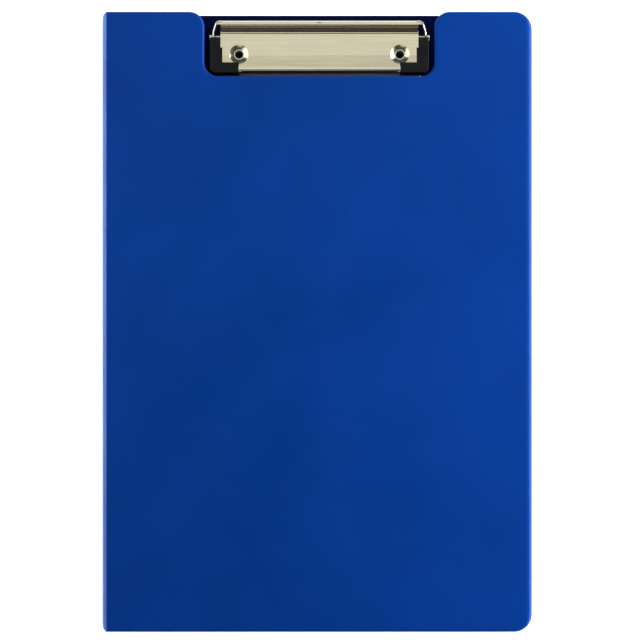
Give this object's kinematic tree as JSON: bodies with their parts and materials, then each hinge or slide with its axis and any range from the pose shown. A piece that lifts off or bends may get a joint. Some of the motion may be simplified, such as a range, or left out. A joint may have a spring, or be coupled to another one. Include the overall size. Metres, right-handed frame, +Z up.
{
  "type": "clipboard folder",
  "caption": "Fold-over clipboard with a hinged front cover, a narrow spine and a sprung steel lever clip showing through a cut-out in the cover.",
  "frame": {"origin": "middle of the closed folder's footprint, on the outer face of the back board that it rests on", "axes": "+Y along the length towards the clip, +X across the width away from the spine, +Z up through the thickness towards the front cover"},
  "size_m": [0.2356, 0.34, 0.013],
  "materials": {
    "blue_polypropylene": "satin calendered polypropylene sheet, blue",
    "clear_film": "clear polypropylene film",
    "nickel_plated_steel": "bright nickel plate on pressed steel",
    "black_plastic": "black moulded plastic, semi-matt",
    "spring_steel": "drawn spring wire",
    "lacquered_rivet": "dark blue lacquer on steel, to match the sheet"
  },
  "bodies": {
    "board": {"back_board": "blue_polypropylene", "back_crease": "blue_polypropylene", "clip_base": "nickel_plated_steel", "pivot_rod": "nickel_plated_steel", "left_spring": "spring_steel", "right_spring": "spring_steel", "clip_rivets": "lacquered_rivet", "rivet_washers": "nickel_plated_steel"},
    "spine": {"spine_panel": "blue_polypropylene"},
    "cover": {"front_cover": "blue_polypropylene", "front_crease": "blue_polypropylene", "inner_pocket": "clear_film"},
    "jaw": {"jaw_plate": "nickel_plated_steel", "left_grip": "black_plastic", "right_grip": "black_plastic"}
  },
  "joints": [
    {"name": "back_fold", "type": "hinge", "parent": "board", "child": "spine", "pos_m": [-0.11683, 0, 0.00097], "axis": [0, -1, 0], "range_deg": [0, 90], "deforming": ["back_crease"]},
    {"name": "front_fold", "type": "hinge", "parent": "spine", "child": "cover", "pos_m": [-0.11683, 0, 0.01203], "axis": [0, -1, 0], "range_deg": [0, 90], "deforming": ["front_crease"]},
    {"name": "jaw_pivot", "type": "hinge", "parent": "board", "child": "jaw", "pos_m": [0.00135, 0.1565, 0.007], "axis": [-1, 0, 0], "range_deg": [0, 35], "stiffness_Nm_per_rad": 0.25, "springref_deg": -34.38, "deforming": ["left_spring", "right_spring"]}
  ]
}
